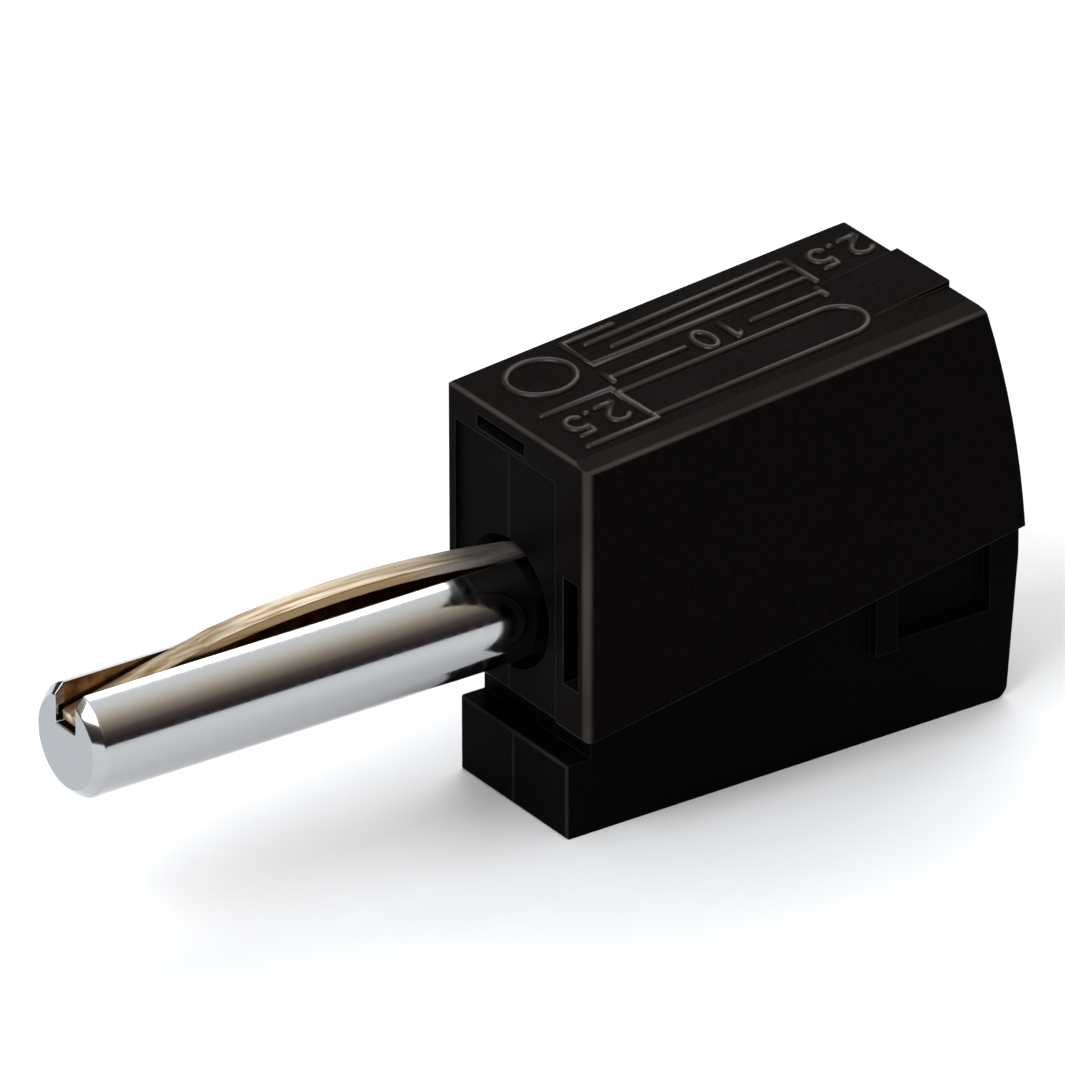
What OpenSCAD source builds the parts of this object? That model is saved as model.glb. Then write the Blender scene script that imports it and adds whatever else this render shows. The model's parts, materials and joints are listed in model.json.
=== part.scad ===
// Plug with a sprung 4 mm pin and a tool-operated wire clamp in a moulded housing.
// Origin on the pin's axis at the front of the housing.
// X runs along the pin to its tip, Y to the thick side wall, Z up from the base.
// All sizes in millimetres.

/* [Plug pin] */
// Diameter of the pin
pin_d = 4; // [3.9:0.05:4.1]
// Length of the pin that stands out of the housing
pin_reach = 17.55; // [16:0.05:20]
// Chamfer round the pin's tip
tip_chamfer = 0.35; // [0.2:0.05:0.6]
// Width of the slot milled along the top of the pin
slot_w = 1.2; // [1.15:0.05:1.5]
// Angle at which the floor of the slot falls towards the housing
slot_fall = 2.3; // [2:0.1:3]
// Diameter of the collar that holds the pin behind the front wall
collar_d = 5; // [4.6:0.1:5.3]
// Thickness of the collar
collar_t = 0.9; // [0.6:0.1:1.2]
// Diameter of the spigot that is riveted through the current bar
spigot_d = 2.4; // [2:0.1:2.8]
// Diameter of the rivet head
rivet_d = 3.4; // [3:0.1:3.8]
// Thickness of the rivet head
rivet_t = 0.6; // [0.4:0.1:0.8]

/* [Contact leaf] */
// Width of the leaf
leaf_w = 0.92; // [0.8:0.02:0.96]
// Thickness of the leaf
leaf_t = 0.38; // [0.3:0.02:0.45]
// Height of the leaf's crest above the pin
leaf_proud = 0.63; // [0.5:0.01:0.7]
// Distance of the crest from the front of the housing
leaf_crest_x = 6.6; // [6:0.1:7.4]
// Radius of the leaf's bow
leaf_bow_r = 40; // [36:1:46]
// Distance of the knee between bow and front ramp from the front of the housing
leaf_knee_x = 11.6; // [11:0.1:12.4]
// Slope of the front ramp
leaf_ramp = 12.7; // [11:0.1:14]
// Distance of the leaf's front end from the tip of the pin
leaf_set_in = 0.2; // [0.1:0.05:0.6]
// Length of the leaf's tail inside the housing
leaf_tail = 1.4; // [1:0.1:1.6]
// Gap between the leaf and what it moves past
leaf_gap = 0.12; // [0.08:0.01:0.2]
// Gap behind the leaf's tail, into which it slides as it is pressed flat
tail_gap = 0.36; // [0.2:0.02:0.6]

/* [Carrier] */
// Width of the carrier across its two halves
carrier_w = 6.3; // [6.1:0.05:6.8]
// Depth to which the carrier is narrowed on each side to take the hood
rebate = 0.25; // [0.15:0.05:0.3]
// Height of the pin's axis above the base
base_drop = 7.75; // [7.5:0.05:8.4]
// Height of the foot at the front
foot_h = 2.8; // [2.4:0.1:3]
// Height of the notch between the foot and the front face
notch_h = 1.2; // [0.9:0.05:1.4]
// Depth of the notch
notch_depth = 1; // [0.6:0.1:1.2]
// Bevel under the front face
chin_bevel = 0.5; // [0.3:0.05:0.7]
// Radius of the foot's front corners
foot_corner_r = 0.14; // [0.1:0.02:0.5]
// Radius of the foot's upper and lower front edges
foot_edge_r = 0.15; // [0.1:0.01:0.25]
// Width of the fine groove at the seam between the halves
seam_w = 0.12; // [0.06:0.02:0.2]
// Distance of the carrier's front face behind the front of the hood
face_setback = 0.15; // [0.1:0.05:0.3]
// Distance of the foot's front behind the front of the hood
foot_setback = 0.3; // [0.2:0.05:0.5]
// Length of the lower part from the front of the hood to the rear
carrier_len = 19; // [18.8:0.1:20]
// Distance by which the rear face leans in at the base
rear_lean = 0.45; // [0.2:0.05:0.7]
// Height of the upright upper strip of the lower rear face below the hood
rear_upright = 2.1; // [1.6:0.1:2.5]
// Radius of the rear bottom edge
rear_corner_r = 0.5; // [0.3:0.1:0.8]
// Thickness of the front wall that holds the pin
front_wall = 2.2; // [2:0.1:2.6]
// Thickness of the rear wall of the clamp chamber
rear_wall = 3.1; // [2.8:0.1:3.4]
// Thickness of the side walls of the clamp chamber under the hood
side_wall = 0.7; // [0.6:0.05:0.8]
// Thickness of the base under the clamp chamber
base_wall = 1; // [0.8:0.1:1.2]
// Height of the clamp chamber above the pin's axis
chamber_top = 4.7; // [4.4:0.1:4.9]
// Diameter of the recess round the pin in the front face
recess_d = 4.75; // [4.5:0.05:5]
// Depth of the recess round the pin
recess_depth = 0.8; // [0.5:0.1:1.1]
// Diameter of the pegs that register the two halves
peg_d = 1.2; // [1:0.1:1.4]
// Length of the pegs
peg_len = 1.1; // [0.8:0.1:1.4]
// Distance of the upper peg from the rear end of the clamp chamber
peg_from_rear = 2.4; // [2:0.1:4]

/* [Openings at the rear] */
// Diameter of the wire entry
wire_bore_d = 3.7; // [3.4:0.1:3.9]
// Length of the round wire entry before its funnel
wire_bore_len = 2.1; // [1.8:0.1:2.3]
// Diameter at the narrow end of the funnel
funnel_d = 2.6; // [2.4:0.1:3]
// Width of the slot for the screwdriver blade
blade_slot_w = 2.9; // [2.6:0.1:3.2]
// Height of the slot for the screwdriver blade
blade_slot_h = 1.5; // [1.2:0.1:1.7]
// Height of the lower edge of that slot above the pin's axis
blade_slot_z = 2.7; // [2.65:0.05:2.9]

/* [Hood] */
// Height of the hood's front edge above the pin's axis
hood_front_top = 6.9; // [6.7:0.05:7.4]
// Angle at which the top rises towards the rear
hood_rise = 5.05; // [4:0.05:6]
// Thickness of the top
hood_top_wall = 1.2; // [1.1:0.05:1.3]
// Thickness of the thick side wall
hood_near_wall = 1.8; // [1.6:0.05:2.2]
// Thickness of the thin side wall at the top
hood_far_wall = 0.5; // [0.45:0.05:0.7]
// Angle at which the thin side wall leans in towards its lower edge
far_draft = 0.9; // [0:0.1:1]
// Angle at which the thin side wall comes in towards the rear
far_taper = 0.6; // [0:0.1:0.7]
// Distance of the side walls' lower edge below the pin's axis at the front
hood_skirt = 3.45; // [3.2:0.05:3.7]
// Angle at which the lower edge rises towards the rear
skirt_rise = 9.4; // [8.6:0.1:10]
// Distance of the top's rear edge from the front
hood_len_top = 16.3; // [15.9:0.1:16.8]
// Distance of the lower rear corner from the front
hood_len_low = 18.1; // [17.8:0.1:18.4]
// Radius of the bowed rear edge
hood_rear_r = 37.5; // [34:0.5:60]
// Width of the shallow bevel along the top of the thick side wall
bevel_w = 0.74; // [0.5:0.02:1]
// Depth of that bevel at the side wall
bevel_drop = 0.18; // [0.1:0.02:0.3]
// Width of the chamfer along the top of the thin side wall
far_chamfer = 0.16; // [0.1:0.02:0.24]
// Radius of the hood's other outer edges
hood_round_r = 0.2; // [0.1:0.02:0.26]
// Radius of the front edge of the thick side wall
hood_edge_r = 0.4; // [0.2:0.05:0.6]
// Gap between the hood and the carrier
hood_gap = 0.04; // [0.02:0.01:0.06]
// Width of the slot in the front lip
lip_slot_w = 2.8; // [2:0.1:3.4]
// Distance of that slot's middle from the pin's axis, towards the thin wall
lip_slot_shift = 0.25; // [0:0.05:0.5]
// Height of the slot in the front lip
lip_slot_h = 0.5; // [0.3:0.05:0.6]
// Depth of the slot in the front lip
lip_slot_depth = 1.5; // [1:0.1:2]
// Height of the top left above that slot
lip_roof = 0.5; // [0.4:0.05:0.6]
// Width of the pocket in the front edge of the thick side wall
pocket_w = 0.9; // [0.7:0.05:1]
// Height of that pocket
pocket_h = 4; // [3:0.1:4.8]
// Height of the pocket's lower end below the pin's axis
pocket_drop = 1.6; // [1:0.1:2]
// Depth of that pocket
pocket_depth = 1.6; // [1:0.1:2.4]
// Length of the raised ramp at the rear of the top
ramp_len = 3.3; // [2.5:0.1:5]
// Height of the ramp at its rear end
ramp_h = 0.18; // [0.1:0.02:0.3]
// Width of the ramp
ramp_w = 3; // [2:0.1:3.5]
// Distance of the ramp's middle from the pin's axis, towards the thick wall
ramp_y = 1.2; // [0.6:0.1:1.6]
// Radius of the snap ridges inside the side walls
snap_r = 0.26; // [0.2:0.02:0.3]
// Length of the snap ridges
snap_len = 4; // [3:0.1:5]
// Height of the snap ridges' middle above the lower edge of the side walls
snap_up = 1.04; // [0.8:0.02:1.4]

/* [Clamp] */
// Thickness of the current bar
bar_t = 1; // [0.8:0.1:1.2]
// Width of the current bar at the pin
bar_w = 3.7; // [3.4:0.1:3.9]
// Width of the bar's tongue under the spring
tongue_w = 2.7; // [2.4:0.1:2.8]
// Distance of the bar's upper face below the pin's axis
bar_drop = 2.1; // [2:0.05:2.3]
// Distance of the bar's rear end behind the spring's cage
tongue_over = 1.2; // [0.8:0.1:1.6]
// Thickness of the spring strip
spring_t = 0.45; // [0.35:0.05:0.55]
// Width of the spring strip
spring_w = 3.9; // [3.7:0.1:4.1]
// Radius of the spring's loop at its middle
loop_r = 2.1; // [2:0.05:2.2]
// Distance of the loop's centre behind the rivet head
loop_back = 2.9; // [2.8:0.1:3.2]
// Length of the straight leg that rests on the current bar
rest_leg = 4.4; // [4:0.1:4.5]
// Length of the upper leg between the loop and the cage
upper_leg = 4.4; // [4.3:0.1:4.6]
// Angle at which the upper leg falls to the rear
upper_fall = 12; // [8:1:14]
// Radius of the bend between the upper leg and the cage
cage_bend_r = 0.9; // [0.7:0.1:1.1]
// Width of the window through which the current bar passes
window_w = 3; // [2.9:0.1:3.1]
// Height of the cage's cross bar under the window
cross_bar = 1.1; // [0.8:0.1:1.3]
// Height to which the window opens above the bar
window_over = 2.4; // [2.2:0.1:2.5]

/* [Latch] */
// Length of the pry recess under the hood at the rear
pry_len = 4.1; // [3:0.1:4.4]
// Depth of the pry recess
pry_depth = 0.4; // [0.2:0.05:0.5]
// Distance of the pry recess from the rear of the carrier
pry_from_rear = 1.2; // [1.1:0.1:1.6]
// Height of the pry recess's floor above the base
pry_floor = 3.55; // [3.2:0.05:3.8]
// Width of the rib beside the pry recess
rib_w = 0.9; // [0.6:0.1:1.2]
// Height of the rib above the side of the carrier
rib_h = 0.35; // [0.2:0.05:0.5]
// Distance by which the rib runs down past the floor of the pry recess
rib_below = 0.2; // [0.1:0.05:0.5]

/* [Hidden] */
$fn = 72;

// Reach of cutting shapes past what they cut
over = 1;
// Length and height that clear the whole housing, for half planes
far = 30;
// Running gap between metal pieces and the carrier that holds them
seat_gap = 0.03;
// Segments of the long curves
fine = 360;
// Steps of a bend in the spring
arc_steps = 32;

// Plug pin and leaf
pin_r = pin_d / 2;
crest_z = pin_r + leaf_proud;
bow_centre_z = crest_z - leaf_bow_r;
leaf_front_x = pin_reach - leaf_set_in;
knee_top_z = bow_z(leaf_knee_x, leaf_bow_r);
knee_low_z = bow_z(leaf_knee_x, leaf_bow_r - leaf_t);
ramp_drop = (leaf_front_x - leaf_knee_x) * tan(leaf_ramp);
leaf_front_low_z = knee_low_z - ramp_drop;
slot_floor_tip = leaf_front_low_z - leaf_gap;
slot_end_x = -leaf_tail - tail_gap;

// Places along the housing, all behind the front of the hood
front_inner_x = -face_setback - front_wall;
collar_rear_x = front_inner_x - seat_gap - collar_t;
plate_rear_x = collar_rear_x - bar_t;
rivet_rear_x = plate_rear_x - rivet_t;
loop_x = rivet_rear_x - loop_back;
rear_inner_x = -carrier_len + rear_wall;

// Heights
base_z = -base_drop;
foot_top_z = base_z + foot_h;
chin_z = foot_top_z + notch_h;
bar_top_z = -bar_drop;
bar_low_z = bar_top_z - bar_t;
wire_z = bar_low_z - funnel_d / 2 + seat_gap;
loop_z = bar_top_z + seat_gap + spring_t / 2 + loop_r;
chamber_low_z = base_z + base_wall;

// Half widths
half_w = carrier_w / 2;
hood_half = half_w - rebate;
chamber_half = hood_half - side_wall;
hood_near_y = hood_half + hood_gap + hood_near_wall;
hood_far_y = -hood_half - hood_gap - hood_far_wall;

// Height of a circle round the bow's centre at a distance x from the housing
function bow_z(x, r) = bow_centre_z + sqrt(r * r - (x - leaf_crest_x) * (x - leaf_crest_x));
// Height of the hood's top and of its lower edge at x
function top_z(x) = hood_front_top - x * tan(hood_rise);
function skirt_z(x) = -hood_skirt - x * tan(skirt_rise);

// Unit vector at an angle, and points along an arc between two angles
function ray(angle) = [cos(angle), sin(angle)];
function arc(centre, r, from, to) = [
    for (k = [0:arc_steps])
        centre + r * ray(from + (to - from) * k / arc_steps)
];

// Circle of the hood's bowed rear edge, through its upper and lower corner
rear_low = [-hood_len_low, skirt_z(-hood_len_low)];
rear_top = [-hood_len_top, top_z(-hood_len_top)];
rear_chord = norm(rear_top - rear_low);
rear_side = (rear_top - rear_low) / rear_chord;
rear_reach = sqrt(hood_rear_r * hood_rear_r - rear_chord * rear_chord / 4);
rear_centre = (rear_low + rear_top) / 2 + rear_reach * [rear_side[1], -rear_side[0]];

// Side view of a shape, drawn as X and Z, as a slab from y_low to y_high
module slab(y_low, y_high) {
    translate([0, y_high, 0])
        rotate([90, 0, 0])
            linear_extrude(height = y_high - y_low)
                children();
}

// Round bar along X from x_low to x_high
module along_x(x_low, x_high, d1, d2) {
    translate([x_low, 0, 0])
        rotate([0, 90, 0])
            cylinder(h = x_high - x_low, d1 = d1, d2 = d2);
}

// Region that rounds off a corner when it is cut away; its two sides leave the corner at two angles
module blunt_2d(corner, from, to, r) {
    half = (to - from) / 2;
    inward = ray(from + half);
    centre = corner + r / sin(half) * inward;
    difference() {
        polygon([
            corner + r / tan(half) * ray(from),
            centre,
            corner + r / tan(half) * ray(to),
            corner - over * inward
        ]);
        translate(centre)
            circle(r);
    }
}

// Side view of the carrier, with the rear face of its lower part carried up to the top
module carrier_2d() {
    rear_foot_x = -carrier_len + rear_lean;
    upright_z = skirt_z(-carrier_len) - rear_upright;
    lean_angle = atan2(upright_z - base_z, -rear_lean);
    notch_x = -foot_setback - notch_depth;
    gap = hood_top_wall + hood_gap;
    difference() {
        polygon([
            [-foot_setback, base_z],
            [-foot_setback, foot_top_z],
            [notch_x, foot_top_z],
            [notch_x, chin_z],
            [-face_setback - chin_bevel, chin_z],
            [-face_setback, chin_z + chin_bevel],
            [-face_setback, top_z(-face_setback) - gap],
            [-carrier_len, top_z(-carrier_len) - gap],
            [-carrier_len, upright_z],
            [rear_foot_x, base_z]
        ]);
        blunt_2d([rear_foot_x, base_z], 0, lean_angle, rear_corner_r);
        blunt_2d([-foot_setback, base_z], 90, 180, foot_edge_r);
        blunt_2d([-foot_setback, foot_top_z], 180, 270, foot_edge_r);
    }
}

// Side view of the carrier below the hood's lower edge
module carrier_lower_2d() {
    intersection() {
        carrier_2d();
        polygon([[far, -far], [far, skirt_z(far)], [-far, skirt_z(-far)], [-far, -far]]);
    }
}

// Side view of the narrower block that fills the hood and whose rear follows the hood's bowed edge
module carrier_upper_2d() {
    intersection() {
        carrier_2d();
        translate(rear_centre)
            circle(hood_rear_r - face_setback, $fn = fine);
    }
}

// Both halves of the carrier as one block, before the seam divides them
module carrier_block() {
    difference() {
        union() {
            slab(-half_w, half_w)
                carrier_lower_2d();
            slab(-hood_half, hood_half)
                carrier_upper_2d();
            for (side = [-1, 1])
                pry_rib(side);
        }
        foot_corners();
        seam_groove();
        clamp_chamber();
        pin_seat();
        rear_openings();
        for (side = [-1, 1]) {
            pry_recess(side);
            snap_groove(side);
        }
    }
    chamber_ribs();
}

// Rounded front corners of the foot
module foot_corners() {
    for (side = [0, 1])
        mirror([0, side, 0])
            translate([0, 0, base_z - over])
                linear_extrude(height = foot_h + over + notch_h / 2)
                    blunt_2d([-foot_setback, half_w], 180, 270, foot_corner_r);
}

// Fine groove where the halves meet on the front face and on the foot
module seam_groove() {
    notch_z = foot_top_z + notch_h / 2;
    for (run = [[-face_setback, notch_z, far], [-foot_setback, base_z - over, notch_z]])
        translate([run[0], 0, run[1]])
            linear_extrude(height = run[2] - run[1])
                rotate(45)
                    square(seam_w / sqrt(2), center = true);
}

// Space for the current bar and the spring
module clamp_chamber() {
    translate([rear_inner_x, -chamber_half, chamber_low_z])
        cube([front_inner_x - rear_inner_x, 2 * chamber_half, chamber_top - chamber_low_z]);
}

// Hole, recess, collar groove and keyway for the pin and the leaf's tail
module pin_seat() {
    key_w = leaf_w + 2 * leaf_gap;
    along_x(front_inner_x - over, over, pin_d + 2 * seat_gap, pin_d + 2 * seat_gap);
    along_x(-face_setback - recess_depth, over, recess_d, recess_d);
    along_x(collar_rear_x - seat_gap, front_inner_x, collar_d + 2 * seat_gap, collar_d + 2 * seat_gap);
    translate([front_inner_x - over, -key_w / 2, 0])
        cube([over - front_inner_x, key_w, bow_z(0, leaf_bow_r) + leaf_gap]);
}

// Wire entry with its funnel, and the slot for the screwdriver blade
module rear_openings() {
    funnel_x = -carrier_len + wire_bore_len;
    translate([0, 0, wire_z]) {
        along_x(-carrier_len - over, funnel_x, wire_bore_d, wire_bore_d);
        along_x(funnel_x, rear_inner_x + seat_gap, wire_bore_d, funnel_d);
    }
    translate([-carrier_len, -blade_slot_w / 2, blade_slot_z])
        cube([rear_wall + over, blade_slot_w, blade_slot_h]);
}

// Rails under the current bar and the stop behind its upright plate
module chamber_ribs() {
    rail_in = tongue_w / 2;
    rail_h = bar_t;
    for (side = [0, 1])
        mirror([0, side, 0])
            translate([loop_x, rail_in, bar_low_z - seat_gap - rail_h])
                cube([plate_rear_x - loop_x, chamber_half - rail_in + side_wall / 2, rail_h]);
    translate([plate_rear_x - seat_gap - bar_t, -chamber_half, rivet_d / 2 + seat_gap])
        cube([bar_t, 2 * chamber_half, chamber_top - rivet_d / 2]);
}

// Recess under the hood's lower edge at the rear, where a blade lifts the hood
module pry_recess(side) {
    mirror([0, side > 0 ? 0 : 1, 0])
        translate([-carrier_len + pry_from_rear, half_w - pry_depth, base_z + pry_floor])
            cube([pry_len, pry_depth + over, far]);
}

// Upright rib in front of the pry recess, rooted in the side of the carrier
module pry_rib(side) {
    rear_x = -carrier_len + pry_from_rear + pry_len;
    front_x = rear_x + rib_w;
    low_z = base_z + pry_floor - rib_below;
    mirror([0, side > 0 ? 0 : 1, 0])
        slab(half_w - rib_h, half_w + rib_h)
            polygon([
                [front_x, low_z],
                [front_x, skirt_z(front_x)],
                [rear_x, skirt_z(rear_x)],
                [rear_x, low_z]
            ]);
}

// Line on which the hood snaps, parallel to its lower edge
module snap_line(side, r, len) {
    translate([0, side * hood_half, 0])
        translate([-hood_len_top / 2, 0, skirt_z(-hood_len_top / 2) + snap_up])
            rotate([0, skirt_rise, 0])
                along_x(-len / 2, len / 2, 2 * r, 2 * r);
}

// Groove in the carrier for the hood's ridge
module snap_groove(side) {
    snap_line(side, snap_r + hood_gap, snap_len + 2 * hood_gap);
}

// Half of the carrier on the left of the pin, with the pegs
module carrier_left() {
    color("#1b1918") {
        intersection() {
            carrier_block();
            translate([-far, -far, -far])
                cube([2 * far, far, 2 * far]);
        }
        pegs(peg_d, peg_len);
    }
}

// Half of the carrier on the right of the pin, with the holes for the pegs
module carrier_right() {
    color("#1d1b1a")
        difference() {
            intersection() {
                carrier_block();
                translate([-far, 0, -far])
                    cube([2 * far, far, 2 * far]);
            }
            pegs(peg_d + 2 * seat_gap, peg_len + seat_gap);
        }
}

// Pegs across the seam, in the foot and in the roof of the chamber
module pegs(d, len) {
    roof_x = rear_inner_x + peg_from_rear;
    roof_z = (chamber_top + top_z(roof_x) - hood_top_wall - hood_gap) / 2;
    foot_x = -foot_setback - notch_depth;
    foot_z = (base_z + foot_top_z) / 2;
    for (place = [[foot_x, foot_z], [roof_x, roof_z]])
        translate([place[0], -peg_d, place[1]])
            rotate([-90, 0, 0])
                cylinder(h = len + peg_d, d = d);
}

// Cover that is pushed over the carrier from above
module hood() {
    color("#201d1b")
        difference() {
            union() {
                intersection() {
                    slab(hood_far_y, hood_near_y)
                        hood_2d();
                    hood_section();
                    hood_plan();
                }
                top_ramp();
            }
            hood_inside();
            lip_slot();
            side_pocket();
        }
    color("#201d1b")
        for (side = [-1, 1])
            snap_ridge(side);
}

// Side view of the hood
module hood_2d() {
    low_z = skirt_z(0) + hood_gap;
    rear_tangent = atan2(rear_top[1] - rear_centre[1], rear_top[0] - rear_centre[0]) + 90;
    difference() {
        intersection() {
            polygon([
                [0, low_z],
                [0, top_z(0)],
                [-far, top_z(-far)],
                [-far, skirt_z(-far) + hood_gap]
            ]);
            translate(rear_centre)
                circle(hood_rear_r, $fn = fine);
        }
        blunt_2d([0, low_z], 90, 180 - skirt_rise, hood_round_r);
        blunt_2d([0, top_z(0)], 180 - hood_rise, 270, hood_round_r);
        blunt_2d(rear_top, rear_tangent, 360 - hood_rise, hood_round_r);
    }
}

// Cross section that follows the rising top
module hood_section() {
    translate([0, 0, hood_front_top])
        rotate([0, hood_rise, 0])
            rotate([90, 0, -90])
                translate([0, 0, -far])
                    linear_extrude(height = 3 * far)
                        hood_section_2d();
}

// The section seen from the front, with the bevel along the top of the thick wall on its left
module hood_section_2d() {
    bevel_angle = atan2(bevel_drop, bevel_w);
    difference() {
        polygon([
            [-hood_near_y, -far],
            [-hood_near_y, -bevel_drop],
            [-hood_near_y + bevel_w, 0],
            [-hood_far_y - far_chamfer, 0],
            [-hood_far_y - far_chamfer * tan(far_draft), -far_chamfer],
            [-hood_far_y - far * tan(far_draft), -far]
        ]);
        blunt_2d([-hood_near_y, -bevel_drop], -90, bevel_angle, hood_round_r);
    }
}

// Plan of the hood, with its rounded front edges and the taper of the thin wall
module hood_plan() {
    translate([0, 0, -far])
        linear_extrude(height = 2 * far)
            difference() {
                polygon([
                    [0, hood_far_y],
                    [0, hood_near_y],
                    [-far, hood_near_y],
                    [-far, hood_far_y + far * tan(far_taper)]
                ]);
                blunt_2d([0, hood_near_y], 180, 270, hood_edge_r);
                blunt_2d([0, hood_far_y], 90, 180 - far_taper, hood_round_r);
            }
}

// Space inside the hood for the carrier, open at the front, the rear and below
module hood_inside() {
    inner = hood_half + hood_gap;
    slab(-inner, inner)
        polygon([
            [over, -far],
            [over, top_z(over) - hood_top_wall],
            [-far, top_z(-far) - hood_top_wall],
            [-far, -far]
        ]);
}

// Slot in the front lip of the top
module lip_slot() {
    translate([-lip_slot_depth, -lip_slot_w / 2 - lip_slot_shift, hood_front_top - lip_roof - lip_slot_h])
        cube([lip_slot_depth + over, lip_slot_w, lip_slot_h]);
}

// Pocket in the front edge of the thick wall
module side_pocket() {
    wall_middle = hood_near_y - hood_near_wall / 2;
    translate([-pocket_depth, wall_middle - pocket_w / 2, -pocket_drop])
        cube([pocket_depth + over, pocket_w, pocket_h]);
}

// Raised ramp at the rear of the top
module top_ramp() {
    start_x = -hood_len_top + ramp_len;
    slab(ramp_y - ramp_w / 2, ramp_y + ramp_w / 2)
        polygon([
            [start_x, top_z(start_x)],
            [-hood_len_top, top_z(-hood_len_top) + ramp_h],
            [-hood_len_top, top_z(-hood_len_top) - hood_top_wall / 2],
            [start_x, top_z(start_x) - hood_top_wall / 2]
        ]);
}

// Ridge inside a side wall that snaps into the carrier's groove
module snap_ridge(side) {
    root_y = hood_half + hood_gap + hood_far_wall / 4;
    intersection() {
        snap_line(side, snap_r, snap_len);
        slab(-root_y, root_y)
            square(2 * far, center = true);
    }
}

// Turned pin with its slot, collar and riveted spigot
module plug_pin() {
    color("#c9cbce")
        difference() {
            union() {
                along_x(collar_rear_x, pin_reach - tip_chamfer, pin_d, pin_d);
                along_x(pin_reach - tip_chamfer, pin_reach, pin_d, pin_d - 2 * tip_chamfer);
                along_x(collar_rear_x, front_inner_x - seat_gap, collar_d, collar_d);
                along_x(rivet_rear_x, collar_rear_x, spigot_d, spigot_d);
                along_x(rivet_rear_x, plate_rear_x, rivet_d, rivet_d);
            }
            slab(-slot_w / 2, slot_w / 2)
                slot_2d();
        }
}

// Side view of the slot, whose floor falls towards the housing
module slot_2d() {
    tip_x = pin_reach + over;
    floor_at_end = slot_floor_tip - (leaf_front_x - slot_end_x) * tan(slot_fall);
    floor_at_tip = slot_floor_tip + (tip_x - leaf_front_x) * tan(slot_fall);
    polygon([
        [tip_x, floor_at_tip],
        [tip_x, pin_d],
        [slot_end_x, pin_d],
        [slot_end_x, floor_at_end]
    ]);
}

// Bowed contact leaf that lies in the slot
module contact_leaf() {
    color("#b79a62")
        slab(-leaf_w / 2, leaf_w / 2)
            intersection() {
                difference() {
                    leaf_side_2d(leaf_bow_r, knee_top_z);
                    leaf_side_2d(leaf_bow_r - leaf_t, knee_low_z);
                }
                translate([-leaf_tail, 0])
                    square([leaf_front_x + leaf_tail, pin_d]);
            }
}

// Everything below one side of the leaf: its bow up to the knee, then its ramp
module leaf_side_2d(r, knee_z) {
    rise = far * tan(leaf_ramp);
    intersection() {
        translate([leaf_crest_x, bow_centre_z])
            circle(r, $fn = 4 * fine);
        polygon([
            [leaf_knee_x - far, -far],
            [leaf_knee_x - far, knee_z + rise],
            [leaf_knee_x + far, knee_z - rise],
            [leaf_knee_x + far, -far]
        ]);
    }
}

// Bent bar that carries the current from the wire to the pin
module current_bar() {
    cage_x = loop_x - rest_leg - cage_bend_r;
    bar_rear_x = cage_x - tongue_over;
    rivet_hole_d = spigot_d + 2 * seat_gap;
    color("#b8794c")
        difference() {
            slab(-bar_w / 2, bar_w / 2)
                bar_2d(bar_rear_x);
            along_x(plate_rear_x - over, collar_rear_x + over, rivet_hole_d, rivet_hole_d);
            for (side = [0, 1])
                mirror([0, side, 0])
                    translate([bar_rear_x - over, tongue_w / 2, bar_low_z - over])
                        cube([loop_x - bar_rear_x + over, bar_w, bar_t + 2 * over]);
        }
}

// Side view of the current bar, an upright plate bent into a level tongue
module bar_2d(bar_rear_x) {
    plate_top_z = rivet_d / 2 + bar_t;
    front_x = collar_rear_x - seat_gap;
    difference() {
        polygon([
            [front_x, bar_low_z],
            [front_x, plate_top_z],
            [plate_rear_x, plate_top_z],
            [plate_rear_x, bar_top_z],
            [bar_rear_x, bar_top_z],
            [bar_rear_x, bar_low_z]
        ]);
        blunt_2d([front_x, bar_low_z], 90, 180, bar_t);
    }
}

// Bent spring strip with the window that pulls the wire up against the bar
module clamp_spring() {
    window_low_z = bar_low_z - 2 * seat_gap;
    color("#9aa0a6")
        difference() {
            slab(-spring_w / 2, spring_w / 2)
                spring_2d(window_low_z - cross_bar);
            translate([-far, -window_w / 2, window_low_z])
                cube([far + loop_x - rest_leg - spring_t / 2, window_w, bar_t + window_over]);
        }
}

// Side view of the spring: leg on the bar, loop, upper leg, bend and cage,
// drawn out along one side and back along the other
module spring_2d(cage_low_z) {
    half_t = spring_t / 2;
    rest_z = loop_z - loop_r;
    rest_x = loop_x - rest_leg;
    top_angle = 90 + upper_fall;
    loop = [loop_x, loop_z];
    leg_end = loop + loop_r * ray(top_angle) + upper_leg * ray(top_angle + 90);
    bend = leg_end - cage_bend_r * ray(top_angle);
    cage_x = bend[0] - cage_bend_r;
    polygon(concat(
        [[rest_x, rest_z - half_t]],
        arc(loop, loop_r + half_t, -90, top_angle),
        arc(bend, cage_bend_r + half_t, top_angle, 180),
        [[cage_x - half_t, cage_low_z], [cage_x + half_t, cage_low_z]],
        arc(bend, cage_bend_r - half_t, 180, top_angle),
        arc(loop, loop_r - half_t, top_angle, -90),
        [[rest_x, rest_z + half_t]]
    ));
}

carrier_left();
carrier_right();
hood();
plug_pin();
contact_leaf();
current_bar();
clamp_spring();
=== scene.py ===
"""Dresses the spring-clamp plug: softened edges, finishes, raised marks, bending spring and a stage."""

import json
import math

import bmesh
import bpy
from mathutils import Matrix, Vector


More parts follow.
